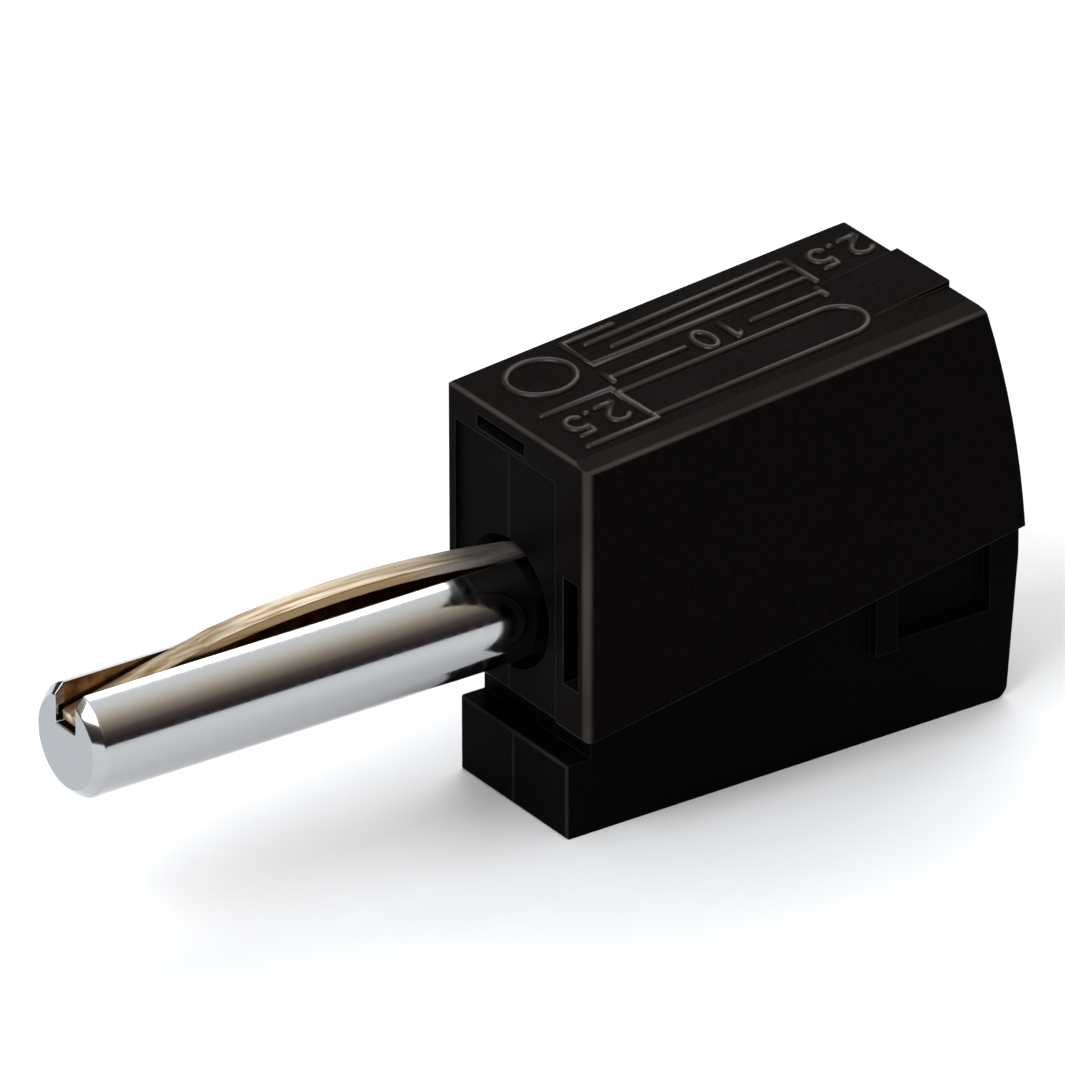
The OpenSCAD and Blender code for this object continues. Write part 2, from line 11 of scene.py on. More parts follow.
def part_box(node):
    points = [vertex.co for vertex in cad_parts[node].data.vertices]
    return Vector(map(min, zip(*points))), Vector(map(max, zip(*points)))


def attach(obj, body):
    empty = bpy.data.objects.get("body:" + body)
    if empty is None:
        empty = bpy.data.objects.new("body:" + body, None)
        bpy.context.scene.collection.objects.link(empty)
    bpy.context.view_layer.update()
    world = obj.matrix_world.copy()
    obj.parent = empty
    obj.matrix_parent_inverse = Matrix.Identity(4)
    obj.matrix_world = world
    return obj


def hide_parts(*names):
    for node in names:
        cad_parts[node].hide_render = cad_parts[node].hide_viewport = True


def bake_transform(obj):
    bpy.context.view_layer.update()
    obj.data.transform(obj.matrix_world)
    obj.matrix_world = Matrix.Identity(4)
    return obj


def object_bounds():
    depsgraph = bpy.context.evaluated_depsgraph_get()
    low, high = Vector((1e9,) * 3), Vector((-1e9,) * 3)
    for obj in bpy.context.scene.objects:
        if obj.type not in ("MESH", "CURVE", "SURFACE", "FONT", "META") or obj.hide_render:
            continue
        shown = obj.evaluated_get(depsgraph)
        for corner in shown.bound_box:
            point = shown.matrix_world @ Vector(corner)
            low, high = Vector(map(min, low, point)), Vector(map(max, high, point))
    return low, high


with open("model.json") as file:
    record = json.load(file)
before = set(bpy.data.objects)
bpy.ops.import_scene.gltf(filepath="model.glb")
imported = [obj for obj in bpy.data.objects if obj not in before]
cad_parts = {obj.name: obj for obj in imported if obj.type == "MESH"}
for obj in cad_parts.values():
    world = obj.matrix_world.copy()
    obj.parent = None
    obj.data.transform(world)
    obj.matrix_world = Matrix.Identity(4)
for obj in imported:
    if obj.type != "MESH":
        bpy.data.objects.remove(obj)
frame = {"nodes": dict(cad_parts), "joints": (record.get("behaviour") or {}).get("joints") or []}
CAD_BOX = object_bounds()

bl_info = {
    "name": "Spring-clamp plug",
    "version": (1, 0, 0),
    "blender": (4, 5, 0),
    "location": "3D View > Sidebar > Plug",
    "description": "Finishes the packed plug and sets it on a pale stage",
    "category": "Object",
}

MM = 0.001
NODES = frame["nodes"]
JOINTS = {joint["name"]: joint for joint in frame["joints"]}
PIN_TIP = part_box("plug_pin")[1].x
CLAMP_PIVOT = Vector(JOINTS["clamp_open"]["pos_m"])
# Points that lie closer than this, in metres, count as one
SAME_POINT = 1e-6


def linear(hex_colour):
    """Turns an sRGB hex colour into the linear RGBA that shaders take."""
    parts = [int(hex_colour[i:i + 2], 16) / 255 for i in (1, 3, 5)]
    return [p / 12.92 if p <= 0.04045 else ((p + 0.055) / 1.055) ** 2.4 for p in parts] + [1.0]


def darker(colour, share=0.75):
    """The same colour with only a share of its light."""
    return [c * share for c in colour[:3]] + [1]


def per_metre(size_mm):
    """Scale of a pattern whose features are size_mm across."""
    return 1 / (size_mm * MM)


def add_node(tree, kind, inputs=None, **settings):
    """Adds one node to a tree with its settings, socket values and links."""
    made = tree.nodes.new(kind)
    for name, value in settings.items():
        setattr(made, name, value)
    for socket, value in (inputs or {}).items():
        if isinstance(value, bpy.types.NodeSocket):
            tree.links.new(value, made.inputs[socket])
        else:
            made.inputs[socket].default_value = value
    return made


def colour_prop(name, description, hex_colour):
    """A colour that the user can change, given as sRGB hex."""
    return bpy.props.FloatVectorProperty(
        name=name, description=description, default=linear(hex_colour), size=4,
        subtype="COLOR", min=0, max=1)


def length_prop(name, description, size_mm):
    """A length that the user can change, given in millimetres."""
    return bpy.props.FloatProperty(
        name=name, description=description, default=size_mm * MM, min=0,
        unit="LENGTH", precision=5)


def angle_prop(name, description, degrees):
    """An angle that the user can change, given in degrees."""
    return bpy.props.FloatProperty(
        name=name, description=description, default=math.radians(degrees), subtype="ANGLE")


class PlugEdges(bpy.types.PropertyGroup):
    """How far each kind of edge is rounded."""

    moulded: length_prop("Moulded", "Softness of the housing's small edges to the light", 0.07)
    pin: length_prop("Pin", "Rounding of the pin's and the slot's edges", 0.05)
    strip: length_prop("Strip", "Rounding of the leaf's and the bar's edges", 0.05)


class PlugMarks(bpy.types.PropertyGroup):
    """Sizes of the raised marks on the hood's top."""

    line_w: length_prop("Line width", "Width of a raised line", 0.3)
    line_h: length_prop("Line height", "Height of a raised line", 0.12)
    number_h: length_prop("Number height", "Height of the raised numbers", 1.25)


class PlugFinish(bpy.types.PropertyGroup):
    """Colours of the plug's materials."""

    hood: colour_prop("Hood", "Black of the hood", "#070505")
    # Painted sheen: the paler top colour stands in for the light that falls on the top from above
    hood_top_painted_sheen: colour_prop("Hood's top", "Slightly paler black of the hood's top", "#0b0909")
    # Painted highlight: the paler edge and flank colours stand in for light caught on edges, with some
    # rubbing
    hood_edge_wear_and_highlight: colour_prop("Hood's edges", "Rubbed edges of the hood", "#423e3b")
    marks: colour_prop("Marks", "Black of the raised marks", "#0e0c0b")
    marks_flank_wear_and_highlight: colour_prop("Marks' flanks", "Rubbed flanks of the raised marks", "#1e1b1a")
    carrier: colour_prop("Carrier", "Black of the carrier", "#060505")
    carrier_edge_wear_and_highlight: colour_prop("Carrier's edges", "Rubbed edges of the carrier", "#2c2827")
    nickel: colour_prop("Nickel", "Plating of the pin", "#b5b7b9")
    nickel_end: colour_prop("Pin's end", "Plating on the faced end of the pin", "#a7abae")
    brass: colour_prop("Brass", "Milled walls of the pin's slot", "#bd956c")
    brass_dull: colour_prop("Dull brass", "Tarnish on the walls of the pin's slot", "#755640")
    bronze: colour_prop("Bronze", "Contact leaf", "#cfc8b8")
    bronze_dull: colour_prop("Dull bronze", "Tarnished streaks on the contact leaf", "#8a6b3c")
    # Painted sheen: pale grey laid on the leaf next to the housing for the light it catches there
    leaf_painted_sheen: colour_prop("Leaf's plating", "Plating left on the leaf next to the housing", "#d6d9dc")
    copper: colour_prop("Copper", "Current bar", "#b87d5b")
    steel: colour_prop("Steel", "Clamp spring", "#9da0a3")
    floor: colour_prop("Floor", "Pale floor", "#f3f7fd")


class PlugStage(bpy.types.PropertyGroup):
    """Camera and light."""

    azimuth: angle_prop("Azimuth", "Camera's turn round the plug", 145.45)
    elevation: angle_prop("Elevation", "Camera's height above the horizon", 27.1)
    roll: angle_prop("Roll", "Camera's turn about its own view", 0.15)
    angle: angle_prop("Field of view", "Camera's field of view", 4.0)
    distance: length_prop("Distance", "Camera's distance from the pin's root", 510)
    aside: length_prop("Aside", "How far the camera stands to its right", 0.92)
    above: length_prop("Above", "How far the camera stands upwards in its own view", 2.338)
    key: bpy.props.FloatProperty(
        name="Overhead", description="Power of the overhead light", default=0.45, min=0, unit="POWER")
    front: bpy.props.FloatProperty(
        name="Front", description="Power of the light before the pin", default=2.9, min=0, unit="POWER")
    room: bpy.props.FloatProperty(
        name="Room", description="Strength of the room's own light", default=1.2, min=0)


# Facets that turn by less than this are one face
FLAT_UNDER = math.radians(0.5)
# Edges that turn by more than this are rounded
ROUND_OVER = math.radians(32)
# Edges that still turn by more than this stay sharp to the light
SHARP_OVER = math.radians(40)
EDGE_SEGMENTS = 3


def soften(node, radius):
    """Rounds a solid's sharp edges and shades its flat faces evenly."""
    obj = NODES[node]
    weld = obj.modifiers.new("join_corners", "WELD")
    weld.merge_threshold = SAME_POINT
    merge = obj.modifiers.new("join_flat_faces", "DECIMATE")
    merge.decimate_type = "DISSOLVE"
    merge.angle_limit = FLAT_UNDER
    bevel = obj.modifiers.new("round_edges", "BEVEL")
    bevel.width = radius
    bevel.segments = EDGE_SEGMENTS
    bevel.limit_method = "ANGLE"
    bevel.angle_limit = ROUND_OVER
    bevel.miter_outer = "MITER_ARC"
    shade = obj.modifiers.new("smooth_faces", "NODES")
    shade.node_group = smooth_faces()
    obj.modifiers.new("even_normals", "WEIGHTED_NORMAL").keep_sharp = True


def smooth_faces():
    """Node group that shades all faces smooth and keeps the sharp edges sharp."""
    name = "smooth_faces"
    if name in bpy.data.node_groups:
        return bpy.data.node_groups[name]
    tree = bpy.data.node_groups.new(name, "GeometryNodeTree")
    tree.interface.new_socket("Geometry", in_out="INPUT", socket_type="NodeSocketGeometry")
    tree.interface.new_socket("Geometry", in_out="OUTPUT", socket_type="NodeSocketGeometry")
    start = add_node(tree, "NodeGroupInput")
    faces = add_node(tree, "GeometryNodeSetShadeSmooth", {"Geometry": start.outputs[0]}, domain="FACE")
    angle = add_node(tree, "GeometryNodeInputMeshEdgeAngle")
    under = add_node(
        tree, "FunctionNodeCompare", {0: angle.outputs[0], 1: SHARP_OVER},
        data_type="FLOAT", operation="LESS_THAN")
    edges = add_node(
        tree, "GeometryNodeSetShadeSmooth",
        {"Geometry": faces.outputs[0], "Shade Smooth": under.outputs[0]}, domain="EDGE")
    add_node(tree, "NodeGroupOutput", {0: edges.outputs[0]})
    return tree


def new_material(name, colour, roughness, metallic=0.0):
    """Starts a material and returns it with its tree, shader and object coordinates."""
    material = bpy.data.materials.new(name)
    material.use_nodes = True
    material.diffuse_color = colour
    tree = material.node_tree
    tree.nodes.clear()
    shader = add_node(
        tree, "ShaderNodeBsdfPrincipled",
        {"Base Color": colour, "Roughness": roughness, "Metallic": metallic})
    add_node(tree, "ShaderNodeOutputMaterial", {"Surface": shader.outputs[0]})
    place = add_node(tree, "ShaderNodeTexCoord").outputs["Object"]
    return material, tree, shader, place


def finish_node(node, material):
    """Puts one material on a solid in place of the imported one."""
    obj = NODES[node]
    for slot in obj.material_slots:
        slot.link = "OBJECT"
        slot.material = material


def polyamide_moulded(name, colour, painted_top_sheen, worn_and_lit_edge, roughness, sheen, soft_edge):
    """Black polyamide moulded in a spark-eroded tool: satin black with a fine grain.

    The eye sees a soft sheen that breaks up in the grain and, over a few millimetres, slow
    changes of gloss where the melt flowed. Faces that look up are painted paler, a painted
    sheen for the light from above, and outer edges are painted paler, partly rubbing and
    mostly a painted highlight.
    """
    material, tree, shader, place = new_material(name, colour, roughness)
    shader.inputs["Specular IOR Level"].default_value = sheen
    # Spark-eroded grain is about 0.04 mm across; it is drawn three times coarser to show
    grain = add_node(
        tree, "ShaderNodeTexNoise",
        {"Vector": place, "Scale": per_metre(0.12), "Detail": 2.0, "Roughness": 0.6})
    flow = add_node(
        tree, "ShaderNodeTexNoise", {"Vector": place, "Scale": per_metre(3.5), "Detail": 1.5})
    gloss = add_node(
        tree, "ShaderNodeMapRange",
        {"Value": flow.outputs["Fac"], "From Min": 0.3, "From Max": 0.7,
         "To Min": roughness - 0.06, "To Max": roughness + 0.06})
    tree.links.new(gloss.outputs[0], shader.inputs["Roughness"])
    facing = add_node(
        tree, "ShaderNodeSeparateXYZ", {0: add_node(tree, "ShaderNodeTexCoord").outputs["Normal"]})
    # Painted sheen: faces that look up are mixed towards the paler top colour for the light from above
    upward = add_node(
        tree, "ShaderNodeMapRange", {"Value": facing.outputs["Z"], "From Min": 0.8, "From Max": 0.95})
    base = add_node(
        tree, "ShaderNodeMix", {"Factor": upward.outputs[0], "A": colour, "B": painted_top_sheen}, data_type="RGBA")
    speck = add_node(
        tree, "ShaderNodeMapRange",
        {"Value": grain.outputs["Fac"], "From Min": 0.3, "From Max": 0.7, "To Min": 0.8, "To Max": 1.9})
    tone = add_node(
        tree, "ShaderNodeVectorMath",
        {0: base.outputs["Result"], "Scale": speck.outputs[0]}, operation="SCALE")
    edge = add_node(tree, "ShaderNodeBevel", {"Radius": soft_edge}, samples=4)
    # Painted highlight: outer edges are mixed towards a paler colour, partly rubbing and mostly light
    # caught there
    painted_light_mix = add_node(
        tree, "ShaderNodeMix",
        {"Factor": edge_wear_and_highlight_share(tree, edge, flow), "A": tone.outputs[0], "B": worn_and_lit_edge},
        data_type="RGBA")
    tree.links.new(painted_light_mix.outputs["Result"], shader.inputs["Base Color"])
    bump = add_node(
        tree, "ShaderNodeBump",
        {"Height": grain.outputs["Fac"], "Strength": 0.25, "Distance": 0.01 * MM,
         "Normal": edge.outputs[0]})
    tree.links.new(bump.outputs[0], shader.inputs["Normal"])
    return material


def edge_wear_and_highlight_share(tree, edge, flow):
    """How far a surface gets the paler edge colour, a painted highlight with some rubbing:
    most where it turns from one of the housing's faces to the next.
    """
    size = add_node(tree, "ShaderNodeVectorMath", {0: edge.outputs[0]}, operation="ABSOLUTE")
    part = add_node(tree, "ShaderNodeSeparateXYZ", {0: size.outputs[0]})
    upright = add_node(
        tree, "ShaderNodeMath", {0: part.outputs["X"], 1: part.outputs["Y"]}, operation="MAXIMUM")
    most = add_node(
        tree, "ShaderNodeMath", {0: upright.outputs[0], 1: part.outputs["Z"]}, operation="MAXIMUM")
    turn = add_node(
        tree, "ShaderNodeMapRange",
        {"Value": most.outputs[0], "From Min": 0.985, "From Max": 0.85, "To Min": 0.0, "To Max": 1.0})
    patchy = add_node(
        tree, "ShaderNodeMapRange",
        {"Value": flow.outputs["Fac"], "From Min": 0.3, "From Max": 0.7, "To Min": 0.55, "To Max": 1.0})
    share = add_node(
        tree, "ShaderNodeMath", {0: turn.outputs[0], 1: patchy.outputs[0]}, operation="MULTIPLY")
    return share.outputs[0]


# The pin's slot is bare under the first radius and plated over the second
BARE_UNDER = (1.93 * MM, 1.97 * MM)
# It is bare further behind the tip than the first distance and plated nearer than the second
BARE_BEHIND = (0.4 * MM, 0.35 * MM)
# Roughness that the bare slot and the faced end have beyond the barrel's
SLOT_DULLNESS = 0.22
END_DULLNESS = 0.2


def nickel_plated_brass(finish):
    """Turned brass with bright nickel: a mirror along the pin, with faint rings from turning.

    The slot is milled after plating, so its walls show bare yellow brass with brown tarnish.
    The end is faced with a coarser feed, so it is greyer and duller than the barrel.
    """
    material, tree, shader, place = new_material(
        "nickel_plated_turned_brass", finish.nickel[:], 0.1, metallic=1.0)
    split = add_node(tree, "ShaderNodeSeparateXYZ", {0: place})
    across = add_node(tree, "ShaderNodeVectorMath", {0: place, 1: (0, 1, 1)}, operation="MULTIPLY")
    radius = add_node(tree, "ShaderNodeVectorMath", {0: across.outputs[0]}, operation="LENGTH")
    inside = add_node(
        tree, "ShaderNodeMapRange",
        {"Value": radius.outputs["Value"], "From Min": BARE_UNDER[0], "From Max": BARE_UNDER[1],
         "To Min": 1.0, "To Max": 0.0})
    behind = add_node(
        tree, "ShaderNodeMapRange",
        {"Value": split.outputs["X"], "From Min": PIN_TIP - BARE_BEHIND[0],
         "From Max": PIN_TIP - BARE_BEHIND[1], "To Min": 1.0, "To Max": 0.0})
    bare = add_node(
        tree, "ShaderNodeMath", {0: inside.outputs[0], 1: behind.outputs[0]}, operation="MULTIPLY")
    facing = add_node(
        tree, "ShaderNodeSeparateXYZ", {0: add_node(tree, "ShaderNodeTexCoord").outputs["Normal"]})
    faced = add_node(
        tree, "ShaderNodeMapRange", {"Value": facing.outputs["X"], "From Min": 0.85, "From Max": 0.97})
    plate = add_node(
        tree, "ShaderNodeMix",
        {"Factor": faced.outputs[0], "A": finish.nickel[:], "B": finish.nickel_end[:]}, data_type="RGBA")
    mottle = add_node(
        tree, "ShaderNodeTexNoise", {"Vector": place, "Scale": per_metre(0.5), "Detail": 3.0})
    patch = add_node(
        tree, "ShaderNodeMapRange", {"Value": mottle.outputs["Fac"], "From Min": 0.35, "From Max": 0.65})
    wall = add_node(
        tree, "ShaderNodeMix",
        {"Factor": patch.outputs[0], "A": finish.brass[:], "B": finish.brass_dull[:]}, data_type="RGBA")
    colour = add_node(
        tree, "ShaderNodeMix",
        {"Factor": bare.outputs[0], "A": plate.outputs["Result"], "B": wall.outputs["Result"]},
        data_type="RGBA")
    tree.links.new(colour.outputs["Result"], shader.inputs["Base Color"])
    # Turning marks lie 0.05 mm apart on such a pin; they are drawn 0.3 mm apart to show
    feed = add_node(
        tree, "ShaderNodeMath", {0: split.outputs["X"], 1: radius.outputs["Value"]}, operation="ADD")
    rings = add_node(
        tree, "ShaderNodeTexNoise",
        {"W": feed.outputs[0], "Scale": per_metre(0.3), "Detail": 3.0}, noise_dimensions="1D")
    gloss = add_node(
        tree, "ShaderNodeMapRange",
        {"Value": rings.outputs["Fac"], "From Min": 0.25, "From Max": 0.75,
         "To Min": 0.07, "To Max": 0.14})
    dull = add_node(
        tree, "ShaderNodeMath", {0: bare.outputs[0], 1: SLOT_DULLNESS, 2: gloss.outputs[0]},
        operation="MULTIPLY_ADD")
    rough = add_node(
        tree, "ShaderNodeMath", {0: faced.outputs[0], 1: END_DULLNESS, 2: dull.outputs[0]},
        operation="MULTIPLY_ADD")
    tree.links.new(rough.outputs[0], shader.inputs["Roughness"])
    bump = add_node(
        tree, "ShaderNodeBump",
        {"Height": rings.outputs["Fac"], "Strength": 0.06, "Distance": 0.004 * MM})
    tree.links.new(bump.outputs[0], shader.inputs["Normal"])
    return material


# Rolling draws the streaks out 25 times along the strip
DRAWN_OUT = (0.04, 1, 1)


def rolled_strip(name, colour, dull, roughness, streak_mm):
    """Cold-rolled metal strip: a bright sheen drawn out in fine streaks along the rolling direction.

    The streaks are about a tenth of what is drawn here, too fine to show at their real width.
    The strip was cut to width after rolling, so its narrow sides are duller.
    """
    material, tree, shader, place = new_material(name, colour, roughness, metallic=1.0)
    along = add_node(tree, "ShaderNodeVectorMath", {0: place, 1: DRAWN_OUT}, operation="MULTIPLY")
    streaks = add_node(
        tree, "ShaderNodeTexNoise",
        {"Vector": along.outputs[0], "Scale": per_metre(streak_mm), "Detail": 3.0})
    gloss = add_node(
        tree, "ShaderNodeMapRange",
        {"Value": streaks.outputs["Fac"], "From Min": 0.25, "From Max": 0.75,
         "To Min": roughness - 0.06, "To Max": roughness + 0.1})
    tree.links.new(gloss.outputs[0], shader.inputs["Roughness"])
    patch = add_node(
        tree, "ShaderNodeMapRange",
        {"Value": streaks.outputs["Fac"], "From Min": 0.35, "From Max": 0.68})
    facing = add_node(
        tree, "ShaderNodeSeparateXYZ", {0: add_node(tree, "ShaderNodeTexCoord").outputs["Normal"]})
    aside = add_node(tree, "ShaderNodeMath", {0: facing.outputs["Y"]}, operation="ABSOLUTE")
    sheared = add_node(
        tree, "ShaderNodeMapRange",
        {"Value": aside.outputs[0], "From Min": 0.5, "From Max": 0.9, "To Max": 0.85})
    share = add_node(
        tree, "ShaderNodeMath", {0: patch.outputs[0], 1: sheared.outputs[0]}, operation="MAXIMUM")
    tone = add_node(
        tree, "ShaderNodeMix", {"Factor": share.outputs[0], "A": colour, "B": dull}, data_type="RGBA")
    tree.links.new(tone.outputs["Result"], shader.inputs["Base Color"])
    bump = add_node(
        tree, "ShaderNodeBump",
        {"Height": streaks.outputs["Fac"], "Strength": 0.08, "Distance": 0.005 * MM})
    tree.links.new(bump.outputs[0], shader.inputs["Normal"])
    return material


# Roughness of the leaf next to the housing, where its pale grey is a painted sheen
NEAR_HOUSING_ROUGHNESS = 0.5


# Painted sheen: the pale grey passed in as plating stands in for the light the leaf catches next to the
# housing
def paint_sheen_near_housing(material, plating, sheen_to, bare_from):
    """Covers a strip with dull grey plating that sockets have rubbed off further along the pin.

    Paints the strip pale grey next to the housing, a painted sheen for the light it catches
    there, and makes it rougher there.

    The eye sees grey next to the housing, which gives way in streaks to the bare strip further
    along the pin.
    """
    tree = material.node_tree
    shader = next(node for node in tree.nodes if node.type == "BSDF_PRINCIPLED")
    streaks = next(node for node in tree.nodes if node.type == "TEX_NOISE")
    place = add_node(
        tree, "ShaderNodeSeparateXYZ", {0: add_node(tree, "ShaderNodeTexCoord").outputs["Object"]})
    ragged = add_node(
        tree, "ShaderNodeMath",
        {0: streaks.outputs["Fac"], 1: bare_from - sheen_to, 2: place.outputs["X"]},
        operation="MULTIPLY_ADD")
    painted_light_mix = add_node(
        tree, "ShaderNodeMapRange",
        {"Value": ragged.outputs[0], "From Min": sheen_to, "From Max": bare_from})
    layers = (("Base Color", "RGBA", plating), ("Roughness", "FLOAT", NEAR_HOUSING_ROUGHNESS))
    for name, kind, near_housing in layers:
        bare = shader.inputs[name].links[0].from_socket
        mixed = add_node(
            tree, "ShaderNodeMix", {"Factor": painted_light_mix.outputs[0], "A": near_housing, "B": bare}, data_type=kind)
        tree.links.new(mixed.outputs["Result"], shader.inputs[name])


def matt_card(finish):
    """Matt white card for the floor: even and pale, with a trace of fibre in its tone."""
    material, tree, shader, place = new_material("matt_white_card", finish.floor[:], 0.9)
    shader.inputs["Specular IOR Level"].default_value = 0.1
    fibre = add_node(
        tree, "ShaderNodeTexNoise", {"Vector": place, "Scale": per_metre(1.5), "Detail": 2.0})
    tone = add_node(
        tree, "ShaderNodeMix",
        {"Factor": fibre.outputs["Fac"], "A": finish.floor[:], "B": darker(finish.floor, 0.985)},
        data_type="RGBA")
    tree.links.new(tone.outputs["Result"], shader.inputs["Base Color"])
    return material


# Least upward share of the direction of a face that belongs to the top
LOOKS_UP = 0.9


class TopPlane:
    """The hood's flat top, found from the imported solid, for placing marks in millimetres."""

    def __init__(self):
        mesh = NODES["hood"].data
        upward = [face for face in mesh.polygons if face.normal.z > LOOKS_UP]
        widest = max(upward, key=lambda face: face.area)
        self.normal = widest.normal.copy()
        self.point = widest.center.copy()

    def at(self, x_mm, y_mm):
        """Point of the top at a place given from the pin's root."""
        x, y = x_mm * MM, y_mm * MM
        fall = self.normal.x * (x - self.point.x) + self.normal.y * (y - self.point.y)
        return Vector((x, y, self.point.z - fall / self.normal.z))


def arc(x, y, rx, ry, start, end, steps=24):
    """Points on an arc of an ellipse, with its angles in degrees."""
    turns = [math.radians(start + (end - start) * i / steps) for i in range(steps + 1)]
    return [(x + rx * math.cos(t), y + ry * math.sin(t)) for t in turns]


# Strokes of each sign and the steps from sign to sign, in shares of the number's height
DIGITS = {
    "0": [arc(0.3, 0.5, 0.26, 0.5, 0, 360)],
    "1": [[(0.08, 0.76), (0.3, 1.0)], [(0.3, 1.0), (0.3, 0.0)]],
    "2": [arc(0.3, 0.72, 0.27, 0.28, 165, -40, 12) + [(0.04, 0.02)], [(0.04, 0.0), (0.58, 0.0)]],
    "5": [
        [(0.54, 1.0), (0.12, 1.0)],
        [(0.12, 1.0), (0.08, 0.6)],
        arc(0.28, 0.34, 0.28, 0.34, 135, -145, 14),
    ],
    ".": [[(0.1, 0.0), (0.1, 0.08)]],
}
DIGIT_STEP = {".": 0.34}
WIDE_STEP = 0.8


def number_strokes(text, x, y, height):
    """Strokes of a number whose first digit's lower corner is at x, y, read towards the pin."""
    strokes = []
    for sign in text:
        strokes += [[(x + px * height, y + py * height) for px, py in stroke] for stroke in DIGITS[sign]]
        x += DIGIT_STEP.get(sign, WIDE_STEP) * height
    return strokes


# Places of the raised marks in millimetres: x from the pin's root along the pin, y across
WIRE_BARE = {"front": -3.75, "rear": -12.0, "low": 1.2, "high": 3.25}
WIRE_COVERED = {"front": -0.95, "rear": -3.75, "low": 0.8, "high": 3.5}
STRIP_RULE = {"y": 0.2, "front": -4.1, "rear": -12.8, "gap_front": -7.2, "gap_rear": -9.9, "tick": 0.35}
BLADE = {"tip": -4.2, "rear": -12.9, "high": -0.95, "low": -2.75, "low_end": -6.3}
BLADE_RIDGES = [
    {"front": (-5.4, -1.5), "rear": (-12.9, -1.8)},
    {"front": (-4.8, -2.2), "rear": (-12.9, -2.4)},
]
REAR_BAR = {"x": -13.1, "high": -0.45, "low": -2.4}
RING = {"x": -2.45, "y": -1.4, "r": 1.2}
NUMBERS = [("10", -9.35, -0.4), ("2.5", -3.3, 1.55), ("2.5", -15.95, -2.25)]


def mark_strokes(number_height):
    """All strokes of the picture on the top: wire, strip length, blade, ring and plain numbers."""
    bare, covered, rule, blade, rear = WIRE_BARE, WIRE_COVERED, STRIP_RULE, BLADE, REAR_BAR
    middle = (bare["low"] + bare["high"]) / 2
    half = (bare["high"] - bare["low"]) / 2
    strokes = [
        [(bare["front"], bare["high"])] + arc(bare["rear"], middle, half, half, 90, 270)
        + [(bare["front"], bare["low"])],
        [(covered["front"], covered["high"]), (covered["rear"], covered["high"]),
         (covered["rear"], covered["low"]), (covered["front"], covered["low"])],
        [(rule["front"], rule["y"]), (rule["gap_front"], rule["y"])],
        [(rule["gap_rear"], rule["y"]), (rule["rear"], rule["y"])],
        [(blade["rear"], blade["high"]), (blade["tip"], blade["high"]), (blade["tip"], blade["low"]),
         (blade["low_end"], blade["low"])],
        *[[ridge["rear"], ridge["front"]] for ridge in BLADE_RIDGES],
        [(rear["x"], rear["high"]), (rear["x"], rear["low"])],
        arc(RING["x"], RING["y"], RING["r"], RING["r"], 0, 360, 40),
    ]
    for end in (rule["front"], rule["rear"]):
        strokes.append([(end, rule["y"] - rule["tick"]), (end, rule["y"] + rule["tick"])])
    for text, x, y in NUMBERS:
        strokes += number_strokes(text, x, y, number_height / MM)
    return strokes


BEAD_SIDES = 6
# How far a bead runs on past its stroke's ends, as a share of its width
BEAD_RUN_ON = 0.4
# Size of a bead's ends as a share of its own
BEAD_END = 0.35
# How deep a bead is rooted below the top, as a share of its height
BEAD_ROOT = 0.4
# A stroke whose ends lie closer than this is a ring
RING_GAP = 0.01 * MM
# A sharp corner widens a bead at most twice
LEAST_COSINE = 0.5


def raise_bead(bm, plane, stroke, width, height):
    """Sweeps a half-round bead along a stroke on the top, rooted a little below the surface."""
    points = [plane.at(x, y) for x, y in stroke]
    closed = (points[0] - points[-1]).length < RING_GAP
    if closed:
        points.pop()
    else:
        first = (points[0] - points[1]).normalized() * (BEAD_RUN_ON * width)
        last = (points[-1] - points[-2]).normalized() * (BEAD_RUN_ON * width)
        points = [points[0] + first] + points + [points[-1] + last]
    count = len(points)
    root = -BEAD_ROOT * height
    rings = []
    for i, point in enumerate(points):
        before = points[i - 1] if closed or i else points[i]
        after = points[(i + 1) % count] if closed or i < count - 1 else points[i]
        along = (after - before).normalized()
        side = plane.normal.cross(along)
        if closed or 0 < i < count - 1:
            half_turn = (after - point).angle(point - before) / 2
            widen, taper = 1 / max(math.cos(half_turn), LEAST_COSINE), 1.0
        else:
            widen, taper = BEAD_END, BEAD_END
        ring = [(-width / 2, root)]
        for k in range(BEAD_SIDES + 1):
            t = math.pi * k / BEAD_SIDES
            ring.append((-width / 2 * math.cos(t), height * math.sin(t) * taper))
        ring.append((width / 2, root))
        rings.append([
            bm.verts.new(point + side * (a * widen) + plane.normal * b) for a, b in ring])
    spans = range(count) if closed else range(count - 1)
    size = len(rings[0])
    for i in spans:
        one, two = rings[i], rings[(i + 1) % count]
        for k in range(size):
            bm.faces.new((one[k], one[(k + 1) % size], two[(k + 1) % size], two[k]))
    if not closed:
        bm.faces.new(rings[0])
        bm.faces.new(list(reversed(rings[-1])))


def mesh_piece(name, bm, body, material):
    """Turns a bmesh into a piece that rides on a body."""
    bmesh.ops.recalc_face_normals(bm, faces=bm.faces)
    mesh = bpy.data.meshes.new(name)
    bm.to_mesh(mesh)
    bm.free()
    obj = bpy.data.objects.new(name, mesh)
    bpy.context.scene.collection.objects.link(obj)
    obj.data.materials.append(material)
    if body:
        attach(obj, body)
    return obj


class PLUG_OT_hood(bpy.types.Operator):
    """Gives the hood its moulded finish"""

    bl_idname = "plug.hood"
    bl_label = "Hood"

    def execute(self, context):
        finish = context.scene.plug_finish
        material = polyamide_moulded(
            "moulded_polyamide_hood", finish.hood[:], finish.hood_top_painted_sheen[:], finish.hood_edge_wear_and_highlight[:],
            roughness=0.42, sheen=0.008, soft_edge=context.scene.plug_edges.moulded)
        finish_node("hood", material)
        return {"FINISHED"}


